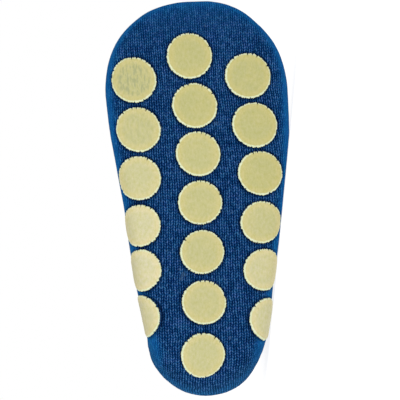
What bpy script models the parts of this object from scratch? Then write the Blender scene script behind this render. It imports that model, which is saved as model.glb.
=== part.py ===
"""A small child's knitted slipper sock with rubber grip dots, worn in shape, lying on its side.

The sock is worked out in its own upright frame: x runs from the back of the heel to the toe, y across the sole
towards the side that lies on the floor, and z from the sole up to the cuff. An empty then lays it down.
"""
import math
from collections import namedtuple

import bpy
import numpy as np
from mathutils import Matrix

# Lengths and heights of the sock, in metres
FOOT_LENGTH = 0.1346
ANKLE_DEPTH = 0.0475
INSTEP_HEIGHT = 0.060
LEG_HEIGHT = 0.088
CUFF_HEIGHT = 0.020
TOE_LENGTH = 0.031
TOE_TIP_HEIGHT = 0.0095

# Widths of the sock
BALL_WIDTH = 0.0620
HEEL_WIDTH = 0.0415
LEG_WIDTH = 0.0410
TOE_LEAN = 0.0009

# Knit
KNIT_WALL = 0.0016
CUFF_WALL = 0.0026
CUFF_EDGE = 0.0009

# Rubber grip dots
DOT_DIAMETER = 0.0151
DOT_THICKNESS = 0.0006
DOT_GAP = 0.0003
COLUMN_SPACING = 0.0208
PRINT_OFFSET = -0.0014

# How it lies on the floor: the two places along the foot that it rests on, and how flat the knit is pressed
REST_FRONT = 0.62
REST_BACK = 0.22
SETTLE = 0.0005

# Fineness of the solids
WALES = 48
TOE_COURSES = 10
COURSES_PER_SECTION = 1.5
CUFF_COURSES = 3
ARC_STEPS = 64
DOT_SIDES = 16
SEARCH_STEPS = 26
OUTLINE_PLACES = 160
OUTLINE_TURNS = 81
PATH_NUDGE = 0.008
TURN_NUDGE = 0.002

# Sections of the sock from the ball of the foot, round the heel and up the leg to the lower edge of the cuff.
# sole_x, top_x: 0 is the back of the heel, 1 the ankle bend, 2 where the toe starts to round off.
# sole_z, top_z: 0 is the floor of the foot, 1 the ankle bend, 2 the lower edge of the cuff.
# ball, heel, leg: shares of those half widths, added up. drift: share of the ball's half width, across.
# equator: height of the widest place, as a share of the section. low, high: how square the two halves are.
Section = namedtuple("Section", "sole_x sole_z top_x top_z ball heel leg drift equator low high")
SECTIONS = (
    Section(2.000, 0.010, 2.000, 0.440, 1.000, 0.000, 0.00, -0.080, 0.40, 3.8, 2.1),
    Section(1.802, 0.000, 1.802, 0.510, 0.987, 0.000, 0.00, -0.062, 0.36, 4.2, 2.1),
    Section(1.580, 0.010, 1.598, 0.610, 0.953, 0.000, 0.00, -0.043, 0.33, 5.0, 2.0),
    Section(1.366, 0.023, 1.402, 0.717, 0.900, 0.000, 0.00, -0.034, 0.30, 5.4, 2.0),
    Section(1.169, 0.030, 1.250, 0.817, 0.680, 0.250, 0.00, -0.038, 0.28, 5.6, 2.0),
    Section(0.968, 0.023, 1.143, 0.900, 0.390, 0.617, 0.00, -0.040, 0.28, 5.6, 2.0),
    Section(0.737, 0.012, 1.076, 0.967, 0.210, 0.820, 0.00, -0.045, 0.28, 5.4, 2.0),
    Section(0.505, 0.000, 1.040, 1.046, 0.070, 0.965, 0.00, -0.039, 0.30, 4.8, 2.0),
    Section(0.284, 0.007, 1.022, 1.150, 0.000, 1.003, 0.00, -0.043, 0.33, 3.8, 2.0),
    Section(0.122, 0.057, 1.009, 1.250, 0.000, 0.967, 0.00, -0.058, 0.37, 2.8, 2.0),
    Section(0.034, 0.167, 1.000, 1.343, 0.000, 0.876, 0.08, -0.058, 0.40, 2.2, 2.0),
    Section(0.004, 0.308, 0.994, 1.436, 0.000, 0.690, 0.26, -0.048, 0.42, 2.2, 2.0),
    Section(0.021, 0.475, 0.989, 1.529, 0.000, 0.450, 0.50, -0.030, 0.44, 2.1, 2.0),
    Section(0.067, 0.667, 0.985, 1.621, 0.000, 0.200, 0.74, 0.000, 0.46, 2.1, 2.0),
    Section(0.105, 0.867, 0.984, 1.714, 0.000, 0.050, 0.89, 0.000, 0.48, 2.1, 2.0),
    Section(0.114, 1.143, 0.985, 1.807, 0.000, 0.000, 0.95, 0.000, 0.49, 2.0, 2.0),
    Section(0.101, 1.554, 0.992, 1.903, 0.000, 0.000, 0.97, 0.000, 0.50, 2.0, 2.0),
    Section(0.084, 2.000, 1.000, 2.000, 0.000, 0.000, 1.00, 0.000, 0.50, 2.0, 2.0),
)
TOE_PLAN = 2.15
TOE_SOLE_CURVE = 3.0
TOE_TOP_CURVE = 2.4
TOE_TOP_SLOPE = 0.45

# Grip dots from the toe to the heel. The first three columns are places as shares of the foot's length. spacing of
# the two side columns and shift of the row are shares of COLUMN_SPACING. size is a share of DOT_DIAMETER. The last
# row has a middle dot alone.
GripRow = namedtuple("GripRow", "middle upper_side floor_side spacing shift size")
GRIP_ROWS = (
    GripRow(0.861, 0.805, 0.806, 0.938, -0.015, 1.030),
    GripRow(0.735, 0.679, 0.681, 0.957, 0.017, 1.020),
    GripRow(0.613, 0.556, 0.559, 0.998, 0.010, 1.010),
    GripRow(0.489, 0.435, 0.434, 1.003, -0.001, 0.990),
    GripRow(0.363, 0.321, 0.313, 1.017, 0.014, 0.985),
    GripRow(0.235, 0.204, 0.187, 1.079, 0.023, 1.000),
    GripRow(0.103, None, None, None, -0.021, 1.000),
)

# Rings of a grip dot from its underside's middle, round its edge, to the middle of its top.
# radius: share of the dot's radius. height: share of its thickness.
DotRing = namedtuple("DotRing", "radius height")
DOT_RINGS = (
    DotRing(0.38, 0.0),
    DotRing(0.72, 0.0),
    DotRing(1.00, 0.0),
    DotRing(1.00, 0.6),
    DotRing(0.94, 1.0),
    DotRing(0.66, 1.0),
    DotRing(0.34, 1.0),
)

LAST_SECTION = len(SECTIONS) - 1
# The section behind the heel, and a place of the path just short of the toe tip
HEEL_SECTION = 11
NEAR_TOE_TIP = -0.98
QUARTER_TURN = 0.25


# The sock's skin

def along(share):
    """Length from the back of the heel: share 1 is the ankle bend and 2 where the toe starts to round off."""
    front = FOOT_LENGTH - TOE_LENGTH - ANKLE_DEPTH
    return np.where(share < 1, share * ANKLE_DEPTH, ANKLE_DEPTH + (share - 1) * front)


def upward(share):
    """Height over the sole: share 1 is the ankle bend and 2 the lower edge of the cuff."""
    return np.where(share < 1, share * INSTEP_HEIGHT, INSTEP_HEIGHT + (share - 1) * (LEG_HEIGHT - INSTEP_HEIGHT))


def section_sizes():
    """The table's sections as real sizes, one row each."""
    rows = np.array(SECTIONS, dtype=float).T
    sole_x, sole_z, top_x, top_z, ball, heel, leg, drift, equator, low, high = rows
    half_width = (ball * BALL_WIDTH + heel * HEEL_WIDTH + leg * LEG_WIDTH) / 2
    return np.stack([along(sole_x), upward(sole_z), along(top_x), upward(top_z), half_width,
                     drift * BALL_WIDTH / 2, equator, low, high], axis=1)


def blended_section(path):
    """Sizes of the sections between the table's rows, on a smooth curve through them."""
    sizes = section_sizes()
    place = np.clip(path, 0, LAST_SECTION)
    first = np.minimum(place.astype(int), LAST_SECTION - 1)
    step = (place - first)[:, None]
    start, end = sizes[first], sizes[first + 1]
    before = sizes[np.maximum(first - 1, 0)]
    after = sizes[np.minimum(first + 2, LAST_SECTION)]
    slope_start = (end - before) / np.where(first > 0, 2, 1)[:, None]
    slope_end = (after - start) / np.where(first + 2 <= LAST_SECTION, 2, 1)[:, None]
    return (
        (2 * step**3 - 3 * step**2 + 1) * start
        + (step**3 - 2 * step**2 + step) * slope_start
        + (3 * step**2 - 2 * step**3) * end
        + (step**3 - step**2) * slope_end
    )


def rounded_off(share, curve, power):
    """How much of a size is left at a share of the toe's length."""
    return np.maximum(1 - np.clip(share, 0, 1) ** curve, 0) ** (1 / power)


def toe_section(sizes, path):
    """Shrinks the first section towards the toe tip where the path is below 0."""
    share = np.sin(np.clip(-path, 0, 1) * math.pi / 2) ** (2 / TOE_PLAN)
    sizes = sizes.copy()
    sizes[:, 0] += share * TOE_LENGTH
    sizes[:, 2] += share * TOE_LENGTH
    sole_left = rounded_off(share, TOE_SOLE_CURVE, TOE_PLAN)
    top_left = rounded_off(share, TOE_TOP_CURVE, TOE_PLAN) * (1 - TOE_TOP_SLOPE * share)
    sizes[:, 1] = TOE_TIP_HEIGHT + (sizes[:, 1] - TOE_TIP_HEIGHT) * sole_left
    sizes[:, 3] = TOE_TIP_HEIGHT + (sizes[:, 3] - TOE_TIP_HEIGHT) * top_left
    sizes[:, 4] *= rounded_off(share, TOE_PLAN, TOE_PLAN)
    sizes[:, 5] -= share * TOE_LEAN
    return sizes


def half_outline(sizes):
    """Half of each section as distances across and up it, from the middle of the sole to the middle of the top."""
    sole_x, sole_z, top_x, top_z, half_width, _, equator, low, high = (column[:, None] for column in sizes.T)
    angle = np.linspace(0, math.pi, ARC_STEPS + 1)[None, :]
    lower = angle <= math.pi / 2
    power = 2 / np.where(lower, low, high)
    height = np.hypot(top_x - sole_x, top_z - sole_z)
    across = half_width * np.abs(np.sin(angle)) ** power
    swing = np.abs(np.cos(angle)) ** power
    up = height * np.where(lower, equator * (1 - swing), equator + (1 - equator) * swing)
    return across, up, height


def around_lengths(across, up):
    """Length round each half outline, from the middle of the sole."""
    steps = np.hypot(np.diff(across, axis=1), np.diff(up, axis=1))
    return np.concatenate([np.zeros((len(steps), 1)), np.cumsum(steps, axis=1)], axis=1)


def read_at(values, table, wanted):
    """The value of each row of a table at the place where it reaches the wanted length."""
    after = np.clip((table < wanted[:, None]).sum(axis=1), 1, table.shape[1] - 1)
    rows = np.arange(len(table))
    low, high = table[rows, after - 1], table[rows, after]
    share = (wanted - low) / np.maximum(high - low, 1e-12)
    return values[rows, after - 1] * (1 - share) + values[rows, after] * share


def leg_shift(path):
    """How far the leg sags towards the floor, from nothing at the heel to its full amount at the cuff."""
    share = np.clip((path - HEEL_SECTION) / (LAST_SECTION - HEEL_SECTION), 0, 1)
    return share * share * (3 - 2 * share)


def skin(path, turn, sag=0.0):
    """Points of the outer skin. path runs -1 at the toe tip, 0 at the ball, to the cuff; turn is 0 to 1 round it."""
    path, turn = np.broadcast_arrays(np.asarray(path, float), np.asarray(turn, float))
    shape = path.shape
    path, turn = path.ravel(), turn.ravel()
    sizes = toe_section(blended_section(path), path)
    across, up, height = half_outline(sizes)
    lengths = around_lengths(across, up)
    turn = turn % 1
    wanted = np.minimum(turn, 1 - turn) * 2 * lengths[:, -1]
    side = np.where(turn <= 0.5, 1.0, -1.0)
    out = read_at(across, lengths, wanted) * side
    rise = read_at(up, lengths, wanted) / np.maximum(height[:, 0], 1e-12)
    sole_x, sole_z, top_x, top_z, _, drift = sizes.T[:6]
    cuff = np.clip(path - LAST_SECTION, 0, 1) * CUFF_HEIGHT
    points = np.stack([
        sole_x + (top_x - sole_x) * rise,
        drift + out + sag * leg_shift(path),
        sole_z + (top_z - sole_z) * rise + cuff,
    ], axis=1)
    return points.reshape(shape + (3,))


def girth(path):
    """Length round the sock at each place of the path."""
    across, up, _ = half_outline(toe_section(blended_section(path), path))
    return 2 * around_lengths(across, up)[:, -1]


def skin_normal(path, turn, sag):
    """Directions that point out of the skin."""
    down_path = skin(path + PATH_NUDGE, turn, sag) - skin(path - PATH_NUDGE, turn, sag)
    round_it = skin(path, turn + TURN_NUDGE, sag) - skin(path, turn - TURN_NUDGE, sag)
    normal = np.cross(down_path, round_it)
    return normal / np.linalg.norm(normal, axis=-1, keepdims=True)


def skin_place(distance, around):
    """Path and turn of the skin at a distance from the back of the heel and a length round from the print's middle."""
    low = np.full(len(distance), NEAR_TOE_TIP)
    high = np.full(len(distance), float(HEEL_SECTION))
    for _ in range(SEARCH_STEPS):
        path = (low + high) / 2
        too_far = skin(path, around / girth(path))[:, 0] > distance
        low = np.where(too_far, path, low)
        high = np.where(too_far, high, path)
    return path, around / girth(path)


# How the sock lies

Rest = namedtuple("Rest", "turn height sag")


def floor_side_outline():
    """The points of the foot that reach furthest towards the floor side, from the heel to the toe."""
    path = np.linspace(NEAR_TOE_TIP, HEEL_SECTION, OUTLINE_PLACES)
    points = skin(path[:, None], np.linspace(0, 0.5, OUTLINE_TURNS)[None, :])
    furthest = points[np.arange(OUTLINE_PLACES), points[:, :, 1].argmax(axis=1)]
    return furthest[furthest[:, 0].argsort()]


def resting():
    """Turn of the sole on the floor, height of its line over the floor, and sag of the leg."""
    outline = floor_side_outline()
    front, back = REST_FRONT * FOOT_LENGTH, REST_BACK * FOOT_LENGTH
    front_reach, back_reach = np.interp([front, back], outline[:, 0], outline[:, 1])
    back_reach += DOT_GAP + DOT_THICKNESS
    turn = math.atan2(front_reach - back_reach, front - back)
    outward = outline[:, 1] * math.cos(turn) - outline[:, 0] * math.sin(turn)
    height = outward.max() - SETTLE
    leg_point = skin(float(LAST_SECTION), QUARTER_TURN)
    leg_reach = leg_point[1] * math.cos(turn) - leg_point[0] * math.sin(turn)
    cuff_step = CUFF_WALL - KNIT_WALL
    sag = (height + SETTLE - cuff_step - leg_reach) / math.cos(turn)
    return Rest(turn, height, sag)


def settled(points, rest):
    """Presses points that would lie under the floor back up to it."""
    down = np.array([-math.sin(rest.turn), math.cos(rest.turn), 0.0])
    under = np.maximum(points @ down - rest.height, 0)
    return points - under[:, None] * down


# Meshes and objects

def paint(name, colour, roughness):
    """A plain surface with one colour."""
    material = bpy.data.materials.new(name)
    material.use_nodes = True
    surface = material.node_tree.nodes["Principled BSDF"]
    surface.inputs["Base Color"].default_value = (*colour, 1)
    surface.inputs["Roughness"].default_value = roughness
    surface.inputs["Metallic"].default_value = 0.0
    return material


def add_object(name, points, faces, material, collection, parent):
    """A smooth object from points and faces, held by the empty that lays the sock down."""
    mesh = bpy.data.meshes.new(name)
    mesh.from_pydata(points.tolist(), [], faces)
    mesh.shade_smooth()
    mesh.materials.append(material)
    thing = bpy.data.objects.new(name, mesh)
    collection.objects.link(thing)
    thing.parent = parent
    return thing


def band_faces(start, count, rings, flip=False):
    """Quads between rings of points that follow each other."""
    faces = []
    for ring in range(rings - 1):
        for place in range(count):
            after = (place + 1) % count
            one, two = start + ring * count, start + (ring + 1) * count
            face = (one + place, one + after, two + after, two + place)
            faces.append(face[::-1] if flip else face)
    return faces


def fan_faces(middle, start, count, flip=False):
    """Triangles from a ring of points to its middle."""
    faces = [(middle, start + place, start + (place + 1) % count) for place in range(count)]
    return [face[::-1] for face in faces] if flip else faces


def course_paths():
    """Places of the knit's courses: toe cap, foot and leg, a short step out to the cuff, and the cuff."""
    toe = -np.linspace(1, 0, TOE_COURSES + 1)[1:-1]
    body = np.linspace(0, LAST_SECTION, round(LAST_SECTION * COURSES_PER_SECTION) + 1)
    edge = LAST_SECTION + CUFF_EDGE / CUFF_HEIGHT
    cuff = np.linspace(edge, LAST_SECTION + 1, CUFF_COURSES + 1)
    return np.concatenate([toe, body, cuff])


def build_knit_body(rest, material, collection, parent):
    """Foot, leg and cuff, knitted in one: an open skin with a wall that is thicker at the cuff."""
    paths = course_paths()
    turns = np.arange(WALES) / WALES
    grid_path = np.repeat(paths, WALES)
    grid_turn = np.tile(turns, len(paths))
    points = skin(grid_path, grid_turn, rest.sag)
    outward = skin_normal(grid_path, grid_turn, rest.sag)
    on_cuff = grid_path > LAST_SECTION
    outward[on_cuff, 2] = 0
    points += outward * np.where(on_cuff, CUFF_WALL - KNIT_WALL, 0.0)[:, None]
    tip = skin(np.array([-1.0]), np.array([0.0]), rest.sag)
    points = settled(np.concatenate([points, tip]), rest)
    faces = band_faces(0, WALES, len(paths), flip=True) + fan_faces(len(points) - 1, 0, WALES)
    body = add_object("knit_body", points, faces, material, collection, parent)
    wall = body.vertex_groups.new(name="wall")
    wall.add([int(index) for index in np.flatnonzero(on_cuff)], 1.0, "REPLACE")
    wall.add([int(index) for index in np.flatnonzero(~on_cuff)] + [len(points) - 1], KNIT_WALL / CUFF_WALL, "REPLACE")
    shell = body.modifiers.new("wall", "SOLIDIFY")
    shell.thickness = CUFF_WALL
    shell.offset = -1
    shell.vertex_group = wall.name
    return body


def build_grip_dot(name, distance, around, diameter, rest, material, collection, parent):
    """A round pad of rubber that follows the skin, a small gap over it."""
    angle = np.arange(DOT_SIDES) * 2 * math.pi / DOT_SIDES
    radius = np.repeat([ring.radius for ring in DOT_RINGS], DOT_SIDES) * diameter / 2
    turned = np.tile(angle, len(DOT_RINGS))
    distances = np.append(distance + radius * np.cos(turned), [distance, distance])
    arounds = np.append(around - radius * np.sin(turned), [around, around])
    heights = np.repeat([ring.height for ring in DOT_RINGS], DOT_SIDES)
    heights = DOT_GAP + DOT_THICKNESS * np.append(heights, [0.0, 1.0])
    path, turn = skin_place(distances, arounds)
    points = skin(path, turn, rest.sag) + skin_normal(path, turn, rest.sag) * heights[:, None]
    points = settled(points, rest)
    underside, top = len(points) - 2, len(points) - 1
    last = (len(DOT_RINGS) - 1) * DOT_SIDES
    faces = band_faces(0, DOT_SIDES, len(DOT_RINGS))
    faces += fan_faces(underside, 0, DOT_SIDES, flip=True)
    faces += fan_faces(top, last, DOT_SIDES)
    return add_object(name, points, faces, material, collection, parent)


def build_grip_dots(rest, material, collection, parent):
    """Three staggered columns of grip dots along the sole."""
    for number, row in enumerate(GRIP_ROWS, start=1):
        middle = PRINT_OFFSET + row.shift * COLUMN_SPACING
        places = [("middle", row.middle, middle)]
        if row.spacing is not None:
            places.append(("upper_side", row.upper_side, middle - row.spacing * COLUMN_SPACING))
            places.append(("floor_side", row.floor_side, middle + row.spacing * COLUMN_SPACING))
        for column, share, around in places:
            name = f"grip_dot_{column}_{number}"
            diameter = row.size * DOT_DIAMETER
            build_grip_dot(name, share * FOOT_LENGTH, around, diameter, rest, material, collection, parent)


def lay_down(rest, parent, things):
    """Turns the sock on its side, and sets the middle of its footprint's box at the origin."""
    cosine, sine = math.cos(rest.turn), math.sin(rest.turn)
    turned = Matrix(((cosine, sine, 0, 0), (0, 0, 1, 0), (sine, -cosine, 0, 0), (0, 0, 0, 1)))
    points = np.concatenate([np.array([vertex.co[:] for vertex in thing.data.vertices]) for thing in things])
    world = points @ np.array(turned.to_3x3()).T
    middle = (world.min(axis=0) + world.max(axis=0)) / 2
    turned.translation = (-middle[0], -middle[1], rest.height)
    parent.matrix_world = turned


def main():
    for thing in list(bpy.data.objects):
        bpy.data.objects.remove(thing)
    collection = bpy.data.collections.new("slipper_sock")
    bpy.context.scene.collection.children.link(collection)
    parent = bpy.data.objects.new("laid_on_its_side", None)
    collection.objects.link(parent)
    rest = resting()
    knit = paint("blue_terry_knit", (0.0095, 0.048, 0.152), 0.95)
    rubber = paint("cream_grip_rubber", (0.578, 0.565, 0.279), 0.6)
    build_knit_body(rest, knit, collection, parent)
    build_grip_dots(rest, rubber, collection, parent)
    lay_down(rest, parent, [thing for thing in collection.objects if thing.type == "MESH"])


main()
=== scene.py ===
"""A small child's slipper sock in blue knit with cream grip dots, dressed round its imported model.

The sock lies on its side. Its own upright frame has x from the back of the heel to the toe, y across the sole
towards the side that lies on the floor, and z from the sole up to the cuff. Every point is worked out there
and then laid down.
"""
import math
from collections import namedtuple

import bpy
import numpy as np
from bpy.props import FloatProperty, FloatVectorProperty, IntProperty, PointerProperty
from mathutils import Matrix, Vector


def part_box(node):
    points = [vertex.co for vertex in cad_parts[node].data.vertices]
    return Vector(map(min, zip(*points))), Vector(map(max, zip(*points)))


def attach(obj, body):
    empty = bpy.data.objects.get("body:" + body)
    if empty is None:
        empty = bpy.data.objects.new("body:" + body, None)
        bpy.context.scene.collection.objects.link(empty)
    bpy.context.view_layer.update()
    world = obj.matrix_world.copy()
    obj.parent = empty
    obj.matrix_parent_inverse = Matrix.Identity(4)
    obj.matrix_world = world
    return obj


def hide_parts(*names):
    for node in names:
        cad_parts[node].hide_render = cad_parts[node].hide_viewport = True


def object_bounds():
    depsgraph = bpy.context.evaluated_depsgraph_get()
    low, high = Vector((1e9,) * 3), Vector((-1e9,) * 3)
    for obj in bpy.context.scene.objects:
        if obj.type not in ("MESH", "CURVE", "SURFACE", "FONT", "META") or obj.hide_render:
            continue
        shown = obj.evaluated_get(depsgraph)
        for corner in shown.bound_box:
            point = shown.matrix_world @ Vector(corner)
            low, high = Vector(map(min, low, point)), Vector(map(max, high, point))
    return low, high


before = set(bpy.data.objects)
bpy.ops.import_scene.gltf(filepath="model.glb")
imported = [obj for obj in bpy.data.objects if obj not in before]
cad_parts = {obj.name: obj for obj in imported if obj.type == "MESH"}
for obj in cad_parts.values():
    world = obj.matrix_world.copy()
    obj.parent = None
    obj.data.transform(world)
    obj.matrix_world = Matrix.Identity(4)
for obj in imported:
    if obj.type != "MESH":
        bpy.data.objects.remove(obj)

bl_info = {
    "name": "Slipper Sock",
    "version": (1, 0, 0),
    "blender": (4, 5, 0),
    "location": "3D View > Sidebar > Sock",
    "description": "Knits a small child's slipper sock with rubber grip dots",
    "category": "Add Mesh",
}

BODY = "root"
CAD_BOX = [list(corner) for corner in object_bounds()]
MM = 0.001
TINY = 1e-12

# The sock's own sizes, in metres
FOOT_LENGTH = 0.1346
ANKLE_DEPTH = 0.0475
INSTEP_HEIGHT = 0.060
LEG_HEIGHT = 0.088
CUFF_HEIGHT = 0.020
TOE_LENGTH = 0.031
TOE_TIP_HEIGHT = 0.0095
BALL_WIDTH = 0.0620
HEEL_WIDTH = 0.0415
LEG_WIDTH = 0.0410
TOE_LEAN = 0.0009
KNIT_WALL = 0.0016
CUFF_WALL = 0.0026
DOT_DIAMETER = 0.0151
DOT_THICKNESS = 0.0006
DOT_GAP = 0.0003
COLUMN_SPACING = 0.0208
PRINT_OFFSET = -0.0014

# Where the sock rests on the floor, as shares of the foot's length, and how far its knit settles there, in metres
REST_FRONT = 0.62
REST_BACK = 0.22
SETTLE = 0.0005

# Sections of the sock from the ball of the foot, round the heel and up the leg to the lower edge of the cuff.
# sole_x, top_x: 0 is the back of the heel, 1 the ankle bend, 2 where the toe starts to round off.
# sole_z, top_z: 0 is the floor of the foot, 1 the ankle bend, 2 the lower edge of the cuff.
# ball, heel, leg: shares of those half widths, added up. drift: share of the ball's half width, across.
# equator: height of the widest place, as a share of the section. low, high: how square the two halves are.
Section = namedtuple("Section", "sole_x sole_z top_x top_z ball heel leg drift equator low high")
SECTIONS = (
    Section(2.000, 0.010, 2.000, 0.440, 1.000, 0.000, 0.00, -0.080, 0.40, 3.8, 2.1),
    Section(1.802, 0.000, 1.802, 0.510, 0.987, 0.000, 0.00, -0.062, 0.36, 4.2, 2.1),
    Section(1.580, 0.010, 1.598, 0.610, 0.953, 0.000, 0.00, -0.043, 0.33, 5.0, 2.0),
    Section(1.366, 0.023, 1.402, 0.717, 0.900, 0.000, 0.00, -0.034, 0.30, 5.4, 2.0),
    Section(1.169, 0.030, 1.250, 0.817, 0.680, 0.250, 0.00, -0.038, 0.28, 5.6, 2.0),
    Section(0.968, 0.023, 1.143, 0.900, 0.390, 0.617, 0.00, -0.040, 0.28, 5.6, 2.0),
    Section(0.737, 0.012, 1.076, 0.967, 0.210, 0.820, 0.00, -0.045, 0.28, 5.4, 2.0),
    Section(0.505, 0.000, 1.040, 1.046, 0.070, 0.965, 0.00, -0.039, 0.30, 4.8, 2.0),
    Section(0.284, 0.007, 1.022, 1.150, 0.000, 1.003, 0.00, -0.043, 0.33, 3.8, 2.0),
    Section(0.122, 0.057, 1.009, 1.250, 0.000, 0.967, 0.00, -0.058, 0.37, 2.8, 2.0),
    Section(0.034, 0.167, 1.000, 1.343, 0.000, 0.876, 0.08, -0.058, 0.40, 2.2, 2.0),
    Section(0.004, 0.308, 0.994, 1.436, 0.000, 0.690, 0.26, -0.048, 0.42, 2.2, 2.0),
    Section(0.021, 0.475, 0.989, 1.529, 0.000, 0.450, 0.50, -0.030, 0.44, 2.1, 2.0),
    Section(0.067, 0.667, 0.985, 1.621, 0.000, 0.200, 0.74, 0.000, 0.46, 2.1, 2.0),
    Section(0.105, 0.867, 0.984, 1.714, 0.000, 0.050, 0.89, 0.000, 0.48, 2.1, 2.0),
    Section(0.114, 1.143, 0.985, 1.807, 0.000, 0.000, 0.95, 0.000, 0.49, 2.0, 2.0),
    Section(0.101, 1.554, 0.992, 1.903, 0.000, 0.000, 0.97, 0.000, 0.50, 2.0, 2.0),
    Section(0.084, 2.000, 1.000, 2.000, 0.000, 0.000, 1.00, 0.000, 0.50, 2.0, 2.0),
)
LAST_SECTION = len(SECTIONS) - 1
HEEL_SECTION = 11

# The toe runs from path 0 to its tip at -1. These say how square its plan is, and how its sole and top close.
NEAR_TOE_TIP = -0.98
TOE_PLAN = 2.15
TOE_SOLE_CURVE = 3.0
TOE_TOP_CURVE = 2.4
TOE_TOP_SLOPE = 0.45

# Grip dots from the toe to the heel: places as shares of the foot's length, then spacing of the two side
# columns and shift of the row as shares of COLUMN_SPACING, and size as a share of DOT_DIAMETER. The last row has
# a middle dot alone.
GripRow = namedtuple("GripRow", "middle upper_side floor_side spacing shift size")
GRIP_ROWS = (
    GripRow(0.861, 0.805, 0.806, 0.938, -0.015, 1.030),
    GripRow(0.735, 0.679, 0.681, 0.957, 0.017, 1.020),
    GripRow(0.613, 0.556, 0.559, 0.998, 0.010, 1.010),
    GripRow(0.489, 0.435, 0.434, 1.003, -0.001, 0.990),
    GripRow(0.363, 0.321, 0.313, 1.017, 0.014, 0.985),
    GripRow(0.235, 0.204, 0.187, 1.079, 0.023, 1.000),
    GripRow(0.103, None, None, None, -0.021, 1.000),
)

# Share of its row's size that each dot keeps, from the toe to the heel: the stretched knit narrows the side
# columns towards the heel.
SIDE_DOT_SHARE = (1.0, 0.995, 0.99, 0.962, 0.958, 0.955, 1.0)
MIDDLE_DOT_SHARE = (1.0, 1.0, 1.0, 1.012, 1.012, 1.0, 0.982)

# Knit: wales run along the sock and courses round it. The heel's gore is where the foot's courses meet the
# leg's, and the heel turns between two places of the path. The last table has a wale's width on the sole, in
# millimetres, at places of the path.
WALES = 96
COLUMNS_PER_WALE = 3
COLUMNS = WALES * COLUMNS_PER_WALE
TOE_ROWS = 56
BODY_ROWS = 262
HEEL_GORE = 9
HEEL_TURN = (7.6, 9.2)
TOE_SEAM_PATH = -0.52
WALE_WIDTH = 0.00165
WALE_WIDTHS = ((0.0, 1.53), (2.0, 1.62), (5.0, 1.66), (7.0, 1.70), (10.0, 1.70), (15.0, 1.42), (17.0, 1.42))
LENGTH_STEPS = 900

# Steps of the table that finds a print's place on the skin, and how far round it reaches, in millimetres
PLACE_STEPS = 480
PLACE_REACH = 44

# Soft folds, each a line of (path, turn) places over the skin, with the trough's half width and depth in
# metres. A negative depth is a ridge. The knit swells a little beside a trough: that swell's height is a share
# of the depth, and its place and reach are shares of the width.
Fold = namedtuple("Fold", "places width depth")
SWELL_HEIGHT = 0.45
SWELL_PLACE = 2.1
SWELL_REACH = 0.9
FOLDS = (
    Fold(((5.6, 0.335), (6.2, 0.42), (6.6, 0.50), (6.3, 0.58), (5.8, 0.67)), 0.0024, 0.0013),
    Fold(((8.2, 0.31), (9.0, 0.42), (9.2, 0.50), (9.0, 0.58), (8.6, 0.69)), 0.0027, -0.0010),
    Fold(((11.2, 0.30), (12.0, 0.40), (12.4, 0.50), (12.1, 0.60), (11.0, 0.72)), 0.0022, 0.0012),
    Fold(((14.2, 0.36), (14.6, 0.46), (14.4, 0.55), (14.0, 0.63)), 0.0021, 0.0007),
    Fold(((10.2, 0.64), (10.4, 0.72), (10.6, 0.80), (10.9, 0.87)), 0.0030, 0.0009),
    Fold(((12.8, 0.74), (12.6, 0.84), (12.9, 0.93), (12.7, 1.02), (13.0, 1.10)), 0.0025, 0.0009),
    Fold(((14.6, 0.90), (14.3, 0.98), (14.5, 1.07), (14.9, 1.15)), 0.0022, 0.0007),
    Fold(((16.2, 0.70), (16.0, 0.82), (16.3, 0.92)), 0.0022, 0.0005),
    Fold(((16.0, 0.38), (16.3, 0.50), (16.1, 0.60)), 0.0023, 0.0005),
    Fold(((3.2, 0.36), (3.6, 0.44), (3.8, 0.52), (3.5, 0.60)), 0.0027, 0.0006),
    Fold(((1.4, 0.42), (1.1, 0.50), (1.5, 0.58)), 0.0030, 0.0004),
    Fold(((10.8, 0.20), (10.9, 0.28), (10.4, 0.36)), 0.0028, 0.0008),
)

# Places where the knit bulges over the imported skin, or sinks, with its reach round the place and its height
Bulge = namedtuple("Bulge", "path turn reach height")
BULGES = (
    Bulge(10.6, 0.00, 0.013, 0.0010),
    Bulge(10.2, 0.06, 0.012, 0.0003),
    Bulge(10.2, 0.94, 0.012, 0.0005),
    Bulge(9.5, 0.88, 0.007, 0.0004),
    Bulge(6.0, 0.77, 0.014, 0.0003),
    Bulge(4.6, 0.78, 0.010, 0.0004),
    Bulge(7.0, 0.22, 0.021, -0.00085),
    Bulge(-0.76, 0.25, 0.008, 0.0005),
    Bulge(-0.9, 0.00, 0.018, 0.0001),
)

# Soft unevenness of each piece: depth and size of its waves, in metres, and the number that their draw starts
# from. Each dot adds its own number to that of the prints.
Waves = namedtuple("Waves", "depth size start")
KNIT_SWELL = Waves(0.00016, 0.013, 4)
KNIT_RIPPLE = Waves(0.00005, 0.0032, 9)
LINING_SWELL = Waves(0.00012, 0.009, 5)
CUFF_SWELL = Waves(0.00022, 0.017, 21)
PRINT_RIPPLE = Waves(0.00005, 0.0045, 200)
WAVES_ADDED_UP = 7


# The sock's skin

def smooth(low, high, value):
    """0 below low, 1 above high, and a soft step between."""
    share = np.clip((value - low) / (high - low), 0, 1)
    return share * share * (3 - 2 * share)


def unit(vectors):
    """The same directions, one long."""
    return vectors / np.maximum(np.linalg.norm(vectors, axis=-1, keepdims=True), TINY)


def two_part(share, first, second):
    """A distance from its share, where share 1 is the first distance and share 2 the second."""
    return np.where(share < 1, share * first, first + (share - 1) * (second - first))


def along(share):
    """Length from the back of the heel: share 1 is the ankle bend and 2 where the toe starts to round off."""
    return two_part(share, ANKLE_DEPTH, FOOT_LENGTH - TOE_LENGTH)


def upward(share):
    """Height over the sole: share 1 is the ankle bend and 2 the lower edge of the cuff."""
    return two_part(share, INSTEP_HEIGHT, LEG_HEIGHT)


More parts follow.
